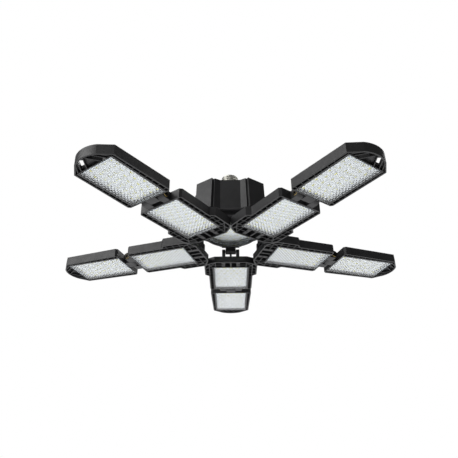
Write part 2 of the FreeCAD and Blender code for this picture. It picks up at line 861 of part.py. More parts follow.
def make_inner_frame():
    """Moulded tray. Its root corners are cut off and then mitred, so that the five trays close a
    ring when they lie flat. Its first stretch is lower, and the next one wider than the rest."""
    body = new_body("inner_frame_1")
    wall = dim.frame_wall
    root = dim.root_reach
    flat = dim.root_flat_half
    corner = dim.root_corner_reach
    corner_half = corner * HALF_SECTOR_TAN - dim.mitre_gap
    mitre_end = (dim.shoulder_half_width + dim.mitre_gap) / HALF_SECTOR_TAN
    shoulder = root + dim.shoulder_length
    neck = shoulder + dim.shoulder_slope
    wide, narrow = dim.shoulder_half_width, dim.panel_half_width
    bevel = dim.corner_bevel
    block = sketch_on(body, "XY_Plane")
    right = [(root, -flat), (corner, -corner_half), (mitre_end, -wide), (shoulder, -wide),
             (neck, -narrow), (inner_end - bevel, -narrow), (inner_end, -(narrow - bevel))]
    outline(block, right + mirrored(right))
    pad(body, block, dim.frame_height)

    slope_setback = 0.4 * wall
    corner_setback = 0.75 * wall
    inside = [(root + wall, -(flat - wall / 4)),
              (corner + corner_setback, -(corner_half - corner_setback)),
              (mitre_end + wall / 2, -(wide - wall)),
              (shoulder - slope_setback, -(wide - wall)),
              (neck - slope_setback, -(narrow - wall)),
              (inner_end - wall, -(narrow - wall))]
    tray = sketch_on(body, "XY_Plane", floor_top)
    outline(tray, inside + mirrored(inside))
    pocket(body, tray, dim.frame_height, up=True)

    module_start = dim.inner_lens_reach - dim.pocket_wall
    channel = sketch_on(body, "XY_Plane")
    around_lens = [(inner_end - wall, module_half), (module_start, module_half),
                   (module_start, -module_half), (inner_end - wall, -module_half)]
    outline(channel, inside[::-1] + mirrored(inside)[::-1] + around_lens)
    pocket(body, channel, dim.channel_depth, up=True)
    lens_openings(body, dim.inner_lens_reach, inner_lens_end)

    # thin ribs across the side channels, and a long rib that carries the narrow wall's line on
    lap = wall / 4
    rib = dim.rib_width
    inner_line = narrow - wall
    first = neck + dim.inner_rib_lead
    row = ribs(body, [box_corners(first, first + rib, module_half - lap, inner_line + lap),
                      box_corners(first, first + rib, -inner_line - lap, lap - module_half)],
               dim.channel_depth, dim.rib_set_in)
    repeat_along(body, row, "X_Axis", dim.side_rib_pitch * (dim.inner_rib_count - 1),
                 dim.inner_rib_count)
    first = dim.inner_lens_reach + dim.shoulder_rib_lead
    reach = wide - wall + lap
    row = ribs(body, [box_corners(first, first + rib, module_half - lap, reach),
                      box_corners(first, first + rib, -reach, lap - module_half)],
               dim.channel_depth, dim.rib_set_in)
    repeat_along(body, row, "X_Axis", dim.side_rib_pitch * (dim.shoulder_rib_count - 1),
                 dim.shoulder_rib_count)
    ribs(body, [box_corners(corner - lap, neck, inner_line, inner_line + rib),
                box_corners(corner - lap, neck, -inner_line - rib, -inner_line)],
         dim.channel_depth, dim.rib_set_in)

    # bars between the root wall and the lens pocket, two of them stout, and ribs in the corners
    bar_start, bar_end = root + wall - lap, module_start + lap
    middle, half_bar = dim.root_middle_bar / 2, dim.root_bar_width / 2
    stout = box_corners(bar_start, bar_end, dim.root_bar_offset - half_bar,
                        dim.root_bar_offset + half_bar)
    ribs(body, [box_corners(bar_start, bar_end, -middle, middle), stout, mirrored(stout)],
         dim.channel_depth, 3 * dim.rib_set_in)
    thin = box_corners(bar_start, bar_end, dim.root_rib_offset, dim.root_rib_offset + rib)
    ribs(body, [thin, mirrored(thin)], dim.channel_depth, dim.rib_set_in)
    half_way = (bar_start + bar_end) / 2
    level_rib = box_corners(half_way, half_way + rib, dim.root_bar_offset, inner_line + lap)
    ribs(body, [level_rib, mirrored(level_rib)], dim.channel_depth, dim.rib_set_in)
    brace = strip(corner + wall / 2, corner_half - wall / 2, module_start + lap,
                  module_half - lap, rib)
    ribs(body, [brace, mirrored(brace)], dim.channel_depth, dim.rib_set_in)
    cross = strip(root + wall / 2, module_half - 3 * wall, module_start + 4 * wall,
                  wide - wall / 2, rib)
    ribs(body, [cross, mirrored(cross)], dim.channel_depth, dim.rib_set_in)

    # the lower first stretch, with a slope up to the full height
    above = sketch_on(body, "XZ_Plane")
    slope_end = dim.root_slope_start + dim.root_slope_run
    outline(above, [(root - wall, dim.root_wall_height), (dim.root_slope_start, dim.root_wall_height),
                    (slope_end, dim.frame_height), (slope_end, dim.frame_height + wall),
                    (root - wall, dim.frame_height + wall)])
    pocket(body, above, 2 * (wide + wall), symmetric=True)

    # two knuckles at the outer end
    for sign in (-1, 1):
        knuckle(body, sign * knuckle_offset, dim.end_knuckle_width, inner_end - wall / 2, False)
    bore_across(body, mid_hinge_reach, mid_hinge_level,
                dim.mid_bolt_radius + dim.hole_clearance, 4 * mid_half_span)
    for sign in (-1, 1):
        recess = sketch_on(body, "XZ_Plane", -sign * mid_half_span)
        ring(recess, mid_hinge_reach, mid_hinge_level,
             dim.mid_head_radius + dim.hole_clearance)
        pocket(body, recess, dim.mid_head_recess, up=sign > 0)

    # two lugs on the root hinge's axis, each with a recess for a bolt head, and between them a rib
    # that stands clear below the hub's round tongue, so it doesn't limit the arm's turn
    radius = dim.root_barrel_radius
    x, level = dim.root_hinge_reach, root_hinge_level
    foot = floor_top - wall / 4
    for sign in (-1, 1):
        lug = sketch_on(body, "XZ_Plane", -sign * (lug_face - dim.lug_width / 2))
        outline(lug, [(x + radius, level, (x, level)), (x - radius, level), (x - radius, foot),
                      (x + radius, foot)])
        pad(body, lug, dim.lug_width, symmetric=True)
    bore_across(body, x, level, dim.root_bolt_radius + dim.hole_clearance,
                4 * dim.tongue_width)
    for sign in (-1, 1):
        recess = sketch_on(body, "XZ_Plane", -sign * lug_face)
        ring(recess, x, level, dim.root_head_radius + dim.hole_clearance)
        pocket(body, recess, dim.root_head_height + dim.side_gap, up=sign > 0)
    stop = sketch_on(body, "XZ_Plane")
    outline(stop, box_corners(root + wall / 4, root + 2 * wall, foot, floor_top + dim.stop_height))
    pad(body, stop, dim.stop_width, symmetric=True)
    return body


tip_rise = dim.tip_reach - dim.tip_shoulder
tip_radius = (dim.tip_half_width * dim.tip_half_width + tip_rise * tip_rise) / (2 * tip_rise)
tip_centre = outer_lens_end + dim.tip_reach - tip_radius


def outer_side(x):
    """Half width of the outer panel at a distance along the arm: its sides draw in outwards."""
    run = outer_lens_end + dim.outer_side_end - outer_start
    return dim.panel_half_width + (dim.outer_end_half_width - dim.panel_half_width) * (
        x - outer_start) / run


def make_outer_frame():
    """Moulded tray with an arched outer end, whose thin floor has two slanting windows."""
    body = new_body("outer_frame_1")
    wall = dim.frame_wall
    bevel = dim.corner_bevel
    start = outer_start
    end_half = dim.outer_end_half_width
    block = sketch_on(body, "XY_Plane")
    arch = (tip_centre, 0)
    shoulder = outer_lens_end + dim.tip_shoulder
    outline(block, [
        (start, -(dim.panel_half_width - bevel)),
        (start + bevel, -outer_side(start + bevel)),
        (outer_lens_end + dim.outer_side_end, -end_half),
        (shoulder, -dim.tip_half_width, arch),
        (shoulder, dim.tip_half_width),
        (outer_lens_end + dim.outer_side_end, end_half),
        (start + bevel, outer_side(start + bevel)),
        (start, dim.panel_half_width - bevel),
    ])
    pad(body, block, dim.frame_height)

    share = (tip_radius - wall) / tip_radius
    inner_shoulder = (tip_centre + (shoulder - tip_centre) * share, dim.tip_half_width * share)
    module_end = outer_lens_end + dim.pocket_wall
    side_end = outer_side(module_end) - wall
    tray = sketch_on(body, "XY_Plane", floor_top)
    outline(tray, [
        (start + wall, -(outer_side(start + wall) - wall)),
        (module_end, -side_end),
        (inner_shoulder[0], -inner_shoulder[1], arch),
        inner_shoulder,
        (module_end, side_end),
        (start + wall, outer_side(start + wall) - wall),
    ])
    pocket(body, tray, dim.frame_height, up=True)

    end_room = [(module_end, -side_end),
                (inner_shoulder[0], -inner_shoulder[1], arch),
                inner_shoulder,
                (module_end, side_end)]
    above = sketch_on(body, "XY_Plane", dim.tip_floor_level + dim.floor_thickness)
    outline(above, end_room)
    pocket(body, above, dim.frame_height, up=True)
    below = sketch_on(body, "XY_Plane")
    outline(below, end_room)
    pocket(body, below, dim.tip_floor_level, up=True)
    channel = sketch_on(body, "XY_Plane")
    both_sides(channel, [
        (start + wall, module_half),
        (module_end, module_half),
        (module_end, side_end),
        (start + wall, outer_side(start + wall) - wall),
    ])
    pocket(body, channel, dim.channel_depth, up=True)
    lens_openings(body, outer_lens_reach, outer_lens_end)

    # thin ribs across the side channels
    lap = wall / 4
    rib = dim.rib_width
    rows = []
    for index in range(int(dim.outer_rib_count.value)):
        x = start + dim.outer_rib_lead + index * dim.side_rib_pitch
        corners = box_corners(x, x + rib, module_half - lap, outer_side(x) - wall + lap)
        rows.append(corners)
        rows.append(mirrored(corners))
    ribs(body, rows, dim.channel_depth, dim.rib_set_in)

    # two slanting windows in the end's floor, with a rib along each long side
    slope = math.tan(math.radians(dim.slot_angle.value))
    near = module_end + rib
    far = outer_lens_end + dim.tip_shoulder - wall
    middle = dim.slot_offset
    window = strip(near, middle, far, middle - (far - near) * slope, dim.slot_width)
    cut = sketch_on(body, "XY_Plane")
    both_sides(cut, window)
    pocket(body, cut, dim.frame_height, up=True)
    offset = (dim.slot_width + rib) / 2 / math.cos(math.radians(dim.slot_angle.value))
    tip_wall = outer_lens_end + dim.tip_shoulder
    start_x = module_end - lap
    for shift, stop_x in ((offset, tip_wall), (-offset, tip_wall + wall / 2)):
        edge = strip(start_x, middle + shift + (near - start_x) * slope,
                     stop_x, middle + shift - (stop_x - near) * slope, rib)
        ribs(body, [edge], dim.tip_floor_level, dim.rib_set_in)
        ribs(body, [mirrored(edge)], dim.tip_floor_level, dim.rib_set_in)
    corner = strip(start_x, end_half - 3 * wall, tip_wall - wall, dim.tip_half_width, rib)
    ribs(body, [corner, mirrored(corner)], dim.tip_floor_level, dim.rib_set_in)

    # one wide knuckle at the inner end
    knuckle(body, 0, dim.mid_knuckle_width, start + wall / 4, True)
    bore_across(body, mid_hinge_reach, mid_hinge_level,
                dim.mid_bolt_radius + dim.hole_clearance, 2 * dim.mid_knuckle_width)
    return body


def make_lens(label, start, end):
    """Clear lens: a face plate in the frame's window, and a wider skirt behind the frame's lip."""
    body = new_body(label)
    gap = dim.lens_clearance
    x0, x1 = start + gap, end - gap
    half = dim.lens_width / 2 - gap
    face = sketch_on(body, "XY_Plane")
    outline(face, box_corners(x0, x1, -half, half))
    pad(body, face, dim.lens_face)
    skirt_half = flange_half - gap
    skirt = sketch_on(body, "XY_Plane", dim.lens_face)
    outline(skirt, box_corners(x0, x1, -skirt_half, skirt_half))
    pad(body, skirt, dim.board_level - dim.lens_face)
    hollow = sketch_on(body, "XY_Plane", dim.lens_face)
    edge = dim.skirt_wall
    outline(hollow, box_corners(x0 + edge, x1 - edge, edge - skirt_half, skirt_half - edge))
    pocket(body, hollow, dim.board_level, up=True)
    return body


def make_led_board(label, start, end):
    """Aluminium-core board with its LED chips soldered in staggered columns underneath."""
    body = new_body(label)
    gap = dim.lens_clearance
    half = flange_half - gap
    board = sketch_on(body, "XY_Plane", dim.board_level)
    outline(board, box_corners(start + gap, end - gap, -half, half))
    pad(body, board, dim.board_thickness)
    middle = (start + end) / 2
    side = dim.chip_side / 2
    pairs = dim.chip_columns / 2
    for column in range(2):
        rows = int(dim.chip_rows.value) - column
        chips = sketch_on(body, "XY_Plane", dim.board_level)
        x = middle + dim.chip_pitch * (column - (dim.chip_columns - 1) / 2)
        for row_index in range(rows):
            y = dim.chip_row_pitch * (row_index - (rows - 1) / 2)
            outline(chips, box_corners(x - side, x + side, y - side, y + side))
        line = pad(body, chips, dim.chip_height, down=True)
        repeat_along(body, line, "X_Axis", 2 * dim.chip_pitch * (pairs - 1), pairs)
    return body


def make_heat_sink(label, start, end):
    """Finned back plate: a pad in the frame's pocket, pressed on the board, and a wider plate
    that rests on the frame's floor."""
    body = new_body(label)
    gap = dim.lens_clearance
    half = flange_half - gap
    inner = sketch_on(body, "XY_Plane", dim.channel_depth)
    outline(inner, box_corners(start + gap, end - gap, -half, half))
    pad(body, inner, dim.floor_thickness)
    margin = dim.sink_margin
    plate_half = module_half + margin - dim.pocket_wall / 2
    plate = sketch_on(body, "XY_Plane", floor_top)
    outline(plate, box_corners(start + margin, end - margin, -plate_half, plate_half))
    pad(body, plate, dim.sink_plate)
    fin_level = floor_top + dim.sink_plate
    span = dim.sink_fin_pitch * (dim.sink_fin_count - 1)
    first = -span / 2 - dim.sink_fin_width / 2
    fin = sketch_on(body, "XY_Plane", fin_level)
    outline(fin, box_corners(start + 2 * margin, end - 2 * margin,
                             first, first + dim.sink_fin_width))
    row = pad(body, fin, dim.frame_height - fin_level)
    repeat_along(body, row, "Y_Axis", span, dim.sink_fin_count)
    return body


def make_first_arm():
    pieces = [make_inner_frame(), make_outer_frame()]
    for side, start, end in (("inner", dim.inner_lens_reach, inner_lens_end),
                             ("outer", outer_lens_reach, outer_lens_end)):
        pieces.append(make_lens(side + "_lens_1", start, end))
        pieces.append(make_led_board(side + "_led_board_1", start, end))
        pieces.append(make_heat_sink(side + "_heat_sink_1", start, end))
    for piece in pieces:
        place_on_arm(piece, FIRST_ARM)
    half_span = mid_half_span - dim.mid_head_recess
    level = rim_level + mid_hinge_level
    bolt = axle("mid_axle", FIRST_ARM, mid_hinge_reach, level, half_span,
                dim.mid_bolt_radius, dim.mid_head_radius, dim.mid_head_recess + dim.head_proud)
    pieces.append(collect("hinge_bolt_1", bolt))
    return pieces


def repeat_arm(pieces, arm):
    """The first arm's pieces once more, turned about the lamp's axis to another arm."""
    for piece in pieces:
        label = piece.Label[:-1] + str(arm + 1)
        copy = doc.addObject("Part::Compound", label)
        copy.Label = label
        copy.Links = [piece]
        copy.Placement = Placement(Vector(0, 0, 0), Rotation(Vector(0, 0, 1), arm * SECTOR))


# ---------------------------------------------------------------- build and write
make_driver_housing()
make_hub_base()
make_lamp_neck()
make_screw_shell()
make_base_end()
make_round_lamp()
make_driver()
make_hub_fasteners()
first_arm = make_first_arm()
for arm in range(1, ARMS):
    repeat_arm(first_arm, arm)
doc.recompute()

HUB_NODES = ["driver_housing", "hub_base", "lamp_neck", "screw_shell", "shell_insulator",
             "base_contact", "hub_lens_ring", "hub_lens", "hub_led_board", "hub_heat_sink",
             "driver_board", "transformer", "capacitors", "housing_screws", "root_hinge_bolts"]
ARM_NODES = ["inner_frame", "inner_lens", "inner_led_board", "inner_heat_sink", "hinge_bolt",
             "outer_frame", "outer_lens", "outer_led_board", "outer_heat_sink"]
nodes = HUB_NODES + ["%s_%d" % (name, arm + 1) for arm in range(ARMS) for name in ARM_NODES]

for item in doc.Objects:
    if "Invalid" in item.State or "Error" in item.State:
        raise RuntimeError("%s didn't build: %s" % (item.Label, item.State))
for node in nodes:
    shape = doc.getObjectsByLabel(node)[0].Shape
    if shape.isNull() or not shape.isValid():
        raise RuntimeError("%s has no valid shape" % node)

os.makedirs("parts", exist_ok=True)
for node in nodes:
    doc.getObjectsByLabel(node)[0].Shape.exportStep("parts/%s.step" % node)
print("wrote %d nodes" % len(nodes))
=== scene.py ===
import math

import bmesh
import bpy
import numpy as np
from mathutils import Matrix, Vector
from mathutils.geometry import delaunay_2d_cdt


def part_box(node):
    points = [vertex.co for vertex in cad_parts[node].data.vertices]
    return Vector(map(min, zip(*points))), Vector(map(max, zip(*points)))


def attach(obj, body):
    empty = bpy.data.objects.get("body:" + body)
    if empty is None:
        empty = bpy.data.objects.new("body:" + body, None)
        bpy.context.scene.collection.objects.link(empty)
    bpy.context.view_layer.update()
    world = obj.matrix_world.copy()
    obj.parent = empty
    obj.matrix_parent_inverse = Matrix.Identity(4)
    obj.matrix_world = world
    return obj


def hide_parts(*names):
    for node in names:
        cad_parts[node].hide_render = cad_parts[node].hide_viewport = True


# A ceiling light that screws into a lampholder: a star-shaped driver housing, a round lamp under
# it and five arms, each of two hinged LED panels. It hangs, so the camera looks up at it.

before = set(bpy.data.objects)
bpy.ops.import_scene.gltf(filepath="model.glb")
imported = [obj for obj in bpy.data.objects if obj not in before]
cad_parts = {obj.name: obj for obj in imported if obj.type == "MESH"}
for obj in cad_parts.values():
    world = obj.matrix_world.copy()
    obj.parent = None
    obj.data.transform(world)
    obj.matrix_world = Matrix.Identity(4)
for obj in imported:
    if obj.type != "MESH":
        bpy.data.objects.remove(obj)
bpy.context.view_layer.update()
ARMS = range(1, 6)
MM = 0.001


# ---------------------------------------------------------------- camera
# The photograph looks up from below at 27 degrees, with arm 1 pointing straight away. The aim is
# where the lamp's axis meets the panels' rim plane; the picture is cropped a little off it.
camera_rise = math.radians(26.98)
camera_drift = math.radians(0.143)
camera_roll = math.radians(-0.589)
camera_distance = 0.7622
camera_aim = Vector((0, 0, -0.107))

forward = Vector((math.sin(camera_drift) * math.cos(camera_rise),
                  math.cos(camera_drift) * math.cos(camera_rise),
                  math.sin(camera_rise)))
level_right = Vector((math.cos(camera_drift), -math.sin(camera_drift), 0))
level_up = level_right.cross(forward)
camera_right = level_right * math.cos(camera_roll) + level_up * math.sin(camera_roll)
camera_up = level_up * math.cos(camera_roll) - level_right * math.sin(camera_roll)
camera_data = bpy.data.cameras.new("camera")
camera_data.sensor_width = 36.0
camera_data.lens = 40.12
camera_data.shift_x = -0.0038
camera_data.shift_y = 0.0445
camera_data.clip_start = 0.01
camera = bpy.data.objects.new("camera", camera_data)
bpy.context.scene.collection.objects.link(camera)
turn = Matrix((camera_right, camera_up, -forward)).transposed().to_4x4()
camera.matrix_world = Matrix.Translation(camera_aim - forward * camera_distance) @ turn
bpy.context.scene.camera = camera
bpy.context.scene.view_settings.view_transform = "Standard"


# ---------------------------------------------------------------- floor and studio light
# A pale floor well below the hanging lamp, a large soft lamp to the left of the camera, a stronger
# one under the panels that lights their lenses, and two above for the backs.
floor_level = -1.35
floor_half = 40.0
floor_mesh = bpy.data.meshes.new("floor")
floor_corners = [(-floor_half, -floor_half), (floor_half, -floor_half),
                 (floor_half, floor_half), (-floor_half, floor_half)]
floor_mesh.from_pydata([(x, y, floor_level) for x, y in floor_corners], [], [(0, 1, 2, 3)])
floor = bpy.data.objects.new("floor", floor_mesh)
bpy.context.scene.collection.objects.link(floor)
floor_finish = bpy.data.materials.new("pale_floor")
floor_finish.use_nodes = True
floor_tree = floor_finish.node_tree
floor_shader = floor_tree.nodes["Principled BSDF"]
floor_shader.inputs["Base Color"].default_value = (0.9, 0.9, 0.9, 1)
floor_shader.inputs["Roughness"].default_value = 0.9
floor_path = floor_tree.nodes.new("ShaderNodeLightPath")
floor_glow = floor_tree.nodes.new("ShaderNodeEmission")
floor_glow.inputs["Strength"].default_value = 0.85
floor_seen = floor_tree.nodes.new("ShaderNodeMath")
floor_seen.operation = "MAXIMUM"
floor_tree.links.new(floor_path.outputs["Is Glossy Ray"], floor_seen.inputs[0])
floor_tree.links.new(floor_path.outputs["Is Transmission Ray"], floor_seen.inputs[1])
floor_share = floor_tree.nodes.new("ShaderNodeMath")
floor_share.operation = "MULTIPLY_ADD"
floor_share.inputs[1].default_value = 0.75
floor_tree.links.new(floor_path.outputs["Is Camera Ray"], floor_share.inputs[0])
floor_tree.links.new(floor_seen.outputs[0], floor_share.inputs[2])
floor_mix = floor_tree.nodes.new("ShaderNodeMixShader")
floor_tree.links.new(floor_share.outputs[0], floor_mix.inputs["Fac"])
floor_tree.links.new(floor_shader.outputs[0], floor_mix.inputs[1])
floor_tree.links.new(floor_glow.outputs[0], floor_mix.inputs[2])
floor_tree.links.new(floor_mix.outputs[0], floor_tree.nodes["Material Output"].inputs["Surface"])
floor_mesh.materials.append(floor_finish)


def soft_lamp(name, place, target, side, power):
    """A square soft white lamp at a place, turned to face a target."""
    data = bpy.data.lights.new(name, "AREA")
    data.size = side
    data.energy = power
    lamp = bpy.data.objects.new(name, data)
    bpy.context.scene.collection.objects.link(lamp)
    lamp.location = place
    lamp.rotation_euler = (Vector(target) - Vector(place)).to_track_quat("-Z", "Y").to_euler()
    lamp.visible_transmission = False
    return lamp


middle = (0, 0, -0.08)
soft_lamp("key_lamp", place=(-1.8, -0.8, 0.6), target=middle, side=1.6, power=26)
under_lamp = soft_lamp("under_lamp", place=(-0.1, 0.35, -1.25), target=middle, side=1.6, power=38)
under_lamp.visible_glossy = False
soft_lamp("back_lamp", place=(0.8, 1.2, 1.5), target=middle, side=1.2, power=22)
soft_lamp("top_lamp", place=(-0.7, -0.9, 1.6), target=middle, side=1.2, power=10)

world = bpy.data.worlds.new("studio")
bpy.context.scene.world = world
world.use_nodes = True
sky = world.node_tree
sky.nodes.clear()
light_path = sky.nodes.new("ShaderNodeLightPath")
seen = sky.nodes.new("ShaderNodeMath")
seen.operation = "MAXIMUM"
sky.links.new(light_path.outputs["Is Camera Ray"], seen.inputs[0])
sky.links.new(light_path.outputs["Is Transmission Ray"], seen.inputs[1])
unseen = sky.nodes.new("ShaderNodeMapRange")
unseen.inputs["To Min"].default_value = 0.34
unseen.inputs["To Max"].default_value = 0.11
sky.links.new(light_path.outputs["Is Glossy Ray"], unseen.inputs["Value"])
strength = sky.nodes.new("ShaderNodeMapRange")
strength.inputs["To Max"].default_value = 1.0
sky.links.new(seen.outputs[0], strength.inputs["Value"])
sky.links.new(unseen.outputs[0], strength.inputs["To Min"])
backdrop = sky.nodes.new("ShaderNodeBackground")
backdrop.inputs["Color"].default_value = (1, 1, 1, 1)
sky.links.new(strength.outputs[0], backdrop.inputs["Strength"])
sky_out = sky.nodes.new("ShaderNodeOutputWorld")
sky.links.new(backdrop.outputs[0], sky_out.inputs["Surface"])


# ---------------------------------------------------------------- black mouldings
# The driver housing, the hub's bottom plate, the neck and the panel frames are moulded in black
# glass-filled nylon with a fine spark-eroded grain, so their gloss is broken and a little uneven.
def new_finish(name):
    """A new node material, with its tree and its Principled node."""
    finish = bpy.data.materials.new(name)
    finish.use_nodes = True
    tree = finish.node_tree
    return finish, tree, tree.nodes["Principled BSDF"]


def noise_on(tree, scale, detail, stretch=1.0, turned=0.0):
    """Noise in the object's own coordinates, with scale in cells per metre. The cells are longer
    by the stretch along a line that lies at an angle, turned, from the X axis about Z."""
    where = tree.nodes.new("ShaderNodeTexCoord")
    mapping = tree.nodes.new("ShaderNodeMapping")
    mapping.vector_type = "TEXTURE"
    mapping.inputs["Rotation"].default_value = (0, 0, turned)
    mapping.inputs["Scale"].default_value = (stretch, 1, 1)
    tree.links.new(where.outputs["Object"], mapping.inputs["Vector"])
    noise = tree.nodes.new("ShaderNodeTexNoise")
    noise.inputs["Scale"].default_value = scale
    noise.inputs["Detail"].default_value = detail
    tree.links.new(mapping.outputs[0], noise.inputs["Vector"])
    return noise.outputs["Fac"]


def between(tree, value, low, high):
    """A noise value spread over a range: low where the noise is 0.3 or less, and high where it is
    0.7 or more."""
    noise_low, noise_high = 0.3, 0.7
    spread = tree.nodes.new("ShaderNodeMapRange")
    spread.inputs["From Min"].default_value = noise_low
    spread.inputs["From Max"].default_value = noise_high
    spread.inputs["To Min"].default_value = low
    spread.inputs["To Max"].default_value = high
    tree.links.new(value, spread.inputs["Value"])
    return spread.outputs[0]


def tinted(tree, value, dark, light):
    """A colour between two, led by a pattern."""
    ramp = tree.nodes.new("ShaderNodeMix")
    ramp.data_type = "RGBA"
    ramp.inputs["A"].default_value = (*dark, 1)
    ramp.inputs["B"].default_value = (*light, 1)
    tree.links.new(value, ramp.inputs["Factor"])
    return ramp.outputs["Result"]


def grained(tree, shader, height, distance, strength=1.0):
    """Turns a height pattern into the shader's bump, with its depth in metres."""
    bump = tree.nodes.new("ShaderNodeBump")
    bump.inputs["Distance"].default_value = distance
    bump.inputs["Strength"].default_value = strength
    tree.links.new(height, bump.inputs["Height"])
    tree.links.new(bump.outputs[0], shader.inputs["Normal"])


def black_moulding():
    """Black nylon: a cloudy dark tone, an uneven gloss and a spark-eroded grain."""
    finish, tree, shader = new_finish("black_moulding")
    cloud = between(tree, noise_on(tree, scale=55, detail=4), 0, 1)
    tone = tinted(tree, cloud, dark=(0.010, 0.010, 0.011), light=(0.016, 0.016, 0.017))
    tree.links.new(tone, shader.inputs["Base Color"])
    gloss = between(tree, noise_on(tree, scale=140, detail=3), low=0.36, high=0.48)
    tree.links.new(gloss, shader.inputs["Roughness"])
    shader.inputs["Specular IOR Level"].default_value = 0.5
    spark_grain = noise_on(tree, scale=2600, detail=2)
    grained(tree, shader, spark_grain, distance=0.00003, strength=0.5)
    return finish


def rounded_moulding(node, finish, body, radius):
    """A moulding with its edges rounded as a mould leaves them: a copy of the CAD mesh with its
    triangles merged into whole faces, and a narrow two-step round along every sharp edge."""
    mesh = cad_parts[node].data.copy()
    skin = bmesh.new()
    skin.from_mesh(mesh)
    bmesh.ops.remove_doubles(skin, verts=skin.verts, dist=1e-6)
    bmesh.ops.dissolve_limit(skin, angle_limit=math.radians(0.5), verts=skin.verts,
                             edges=skin.edges)
    skin.to_mesh(mesh)
    skin.free()
    mesh.materials.clear()
    mesh.materials.append(finish)
    face_count = len(mesh.polygons)
    mesh.polygons.foreach_set("material_index", np.zeros(face_count, dtype=np.int32))
    mesh.polygons.foreach_set("use_smooth", np.zeros(face_count, dtype=bool))
    item = bpy.data.objects.new(node + "_rounded", mesh)
    bpy.context.scene.collection.objects.link(item)
    edge_round = item.modifiers.new("edge_round", "BEVEL")
    edge_round.width = radius
    edge_round.segments = 2
    edge_round.limit_method = "ANGLE"
    edge_round.angle_limit = math.radians(28)
    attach(item, body)
    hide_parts(node)


black = black_moulding()
rounded_moulding("driver_housing", black, "hub", radius=0.8 * MM)
rounded_moulding("hub_base", black, "hub", radius=0.4 * MM)
rounded_moulding("hub_lens_ring", black, "hub", radius=0.4 * MM)
rounded_moulding("lamp_neck", black, "hub", radius=0.6 * MM)
for arm in ARMS:
    for side in ("inner", "outer"):
        rounded_moulding("%s_frame_%d" % (side, arm), black, "%s_panel_%d" % (side, arm),
                         radius=0.3 * MM)


# ---------------------------------------------------------------- screw base
# A nickel-plated brass shell with a rolled thread of about seven turns to the inch, closed by a
# black glass insulator with a tinned contact. The shell is crimped over the neck's boss.
def shell_between(loops, count):
    """Faces of a skin over equal closed loops of points that lie one after another."""
    step = np.arange(count)
    after = (step + 1) % count
    first = np.arange(loops - 1)[:, None] * count
    return np.stack([first + step, first + after, first + count + after, first + count + step],
                    axis=2).reshape(-1, 4)


def made_piece(name, points, faces, finishes, body, stands_for, smooth=False,
               finish_of=None):
    """One piece in the lamp's own frame, from points in metres and lists of faces."""
    mesh = bpy.data.meshes.new(name)
    mesh.from_pydata(np.asarray(points, float).tolist(), [], [tuple(face) for face in faces])
    for finish in finishes:
        mesh.materials.append(finish)
    if finish_of is not None:
        mesh.polygons.foreach_set("material_index", np.asarray(finish_of, dtype=np.int32))
    mesh.polygons.foreach_set("use_smooth", np.full(len(mesh.polygons), smooth))
    mesh.update()
    item = bpy.data.objects.new(name, mesh)
    bpy.context.scene.collection.objects.link(item)
    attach(item, body)
    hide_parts(*stands_for)


def plain_finish(name, colour, roughness, metal=0.0, mottle=0.12, grain_scale=900, grain=0.00001):
    """A finish with a faint uneven tone, an uneven gloss and a fine grain. The mottle is how much
    darker the darkest tone is, and the grain its depth in metres."""
    finish, tree, shader = new_finish(name)
    dark = tuple(part * (1 - mottle) for part in colour)
    cloud = between(tree, noise_on(tree, scale=90, detail=3), 0, 1)
    tree.links.new(tinted(tree, cloud, dark, colour), shader.inputs["Base Color"])
    gloss = between(tree, noise_on(tree, scale=300, detail=2), low=roughness * 0.85,
                    high=roughness * 1.15)
    tree.links.new(gloss, shader.inputs["Roughness"])
    shader.inputs["Metallic"].default_value = metal
    grained(tree, shader, noise_on(tree, grain_scale, detail=2), grain)
    return finish


def screw_shell(radius, mouth, top, collar, pitch, turns, depth, wall):
    """A closed tube. Its radius falls from the crest by half the depth times one minus the cosine
    of the height in turns less the angle in turns; the depth fades over half a turn at both
    ends. Above the thread the wall rolls in to the mouth on a quarter ellipse. The inside is
    the same surface, a wall's thickness smaller."""
    around, rise_steps, roll_steps = 96, 72, 8
    thread_top = collar + turns * pitch
    angle = np.linspace(0, 2 * np.pi, around, endpoint=False)
    rise = np.linspace(collar, thread_top, rise_steps)[:, None]
    phase = (rise - collar) / pitch - angle / (2 * np.pi)
    fade = np.clip(np.minimum(rise - collar, thread_top - rise) / (pitch / 2), 0, 1)
    thread = radius - depth * fade * (1 - np.cos(2 * np.pi * phase)) / 2
    roll = np.linspace(0, np.pi / 2, roll_steps)[1:, None]
    rolled = mouth + (radius - mouth) * np.cos(roll) + 0 * angle
    rolled_height = thread_top + (top - thread_top) * np.sin(roll) + 0 * angle
    foot = np.full((1, around), radius)
    outer = np.concatenate([foot, thread, rolled])
    height = np.concatenate([np.zeros((1, around)), rise + 0 * angle, rolled_height])
    inner = np.maximum(outer[::-1] - wall, mouth - wall)
    inner_height = np.minimum(height[::-1], top - wall)
    inner[-1:] = radius - wall
    ring = np.concatenate([outer, inner, outer[:1]])
    level = np.concatenate([height, inner_height, height[:1]])
    points = np.stack([ring * np.cos(angle), ring * np.sin(angle), level], axis=2).reshape(-1, 3)
    loops = len(ring)
    faces = shell_between(loops, around)
    last = (loops - 1) * around
    faces = np.where(faces >= last, faces - last, faces)
    return points[:last], faces


nickel = plain_finish("rolled_nickel", (0.56, 0.55, 0.50), 0.20, metal=1.0, mottle=0.30,
                      grain_scale=1500)
_, shell_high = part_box("screw_shell")
_, insulator_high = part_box("shell_insulator")
insulator_gap = 0.05 * MM
points, faces = screw_shell(radius=shell_high.x, mouth=insulator_high.x + insulator_gap,
                            top=shell_high.z, collar=4.0 * MM, pitch=3.62 * MM, turns=4,
                            depth=0.9 * MM, wall=0.4 * MM)
made_piece("screw_shell_threaded", points, faces, [nickel], "hub",
           stands_for=["screw_shell"], smooth=True)


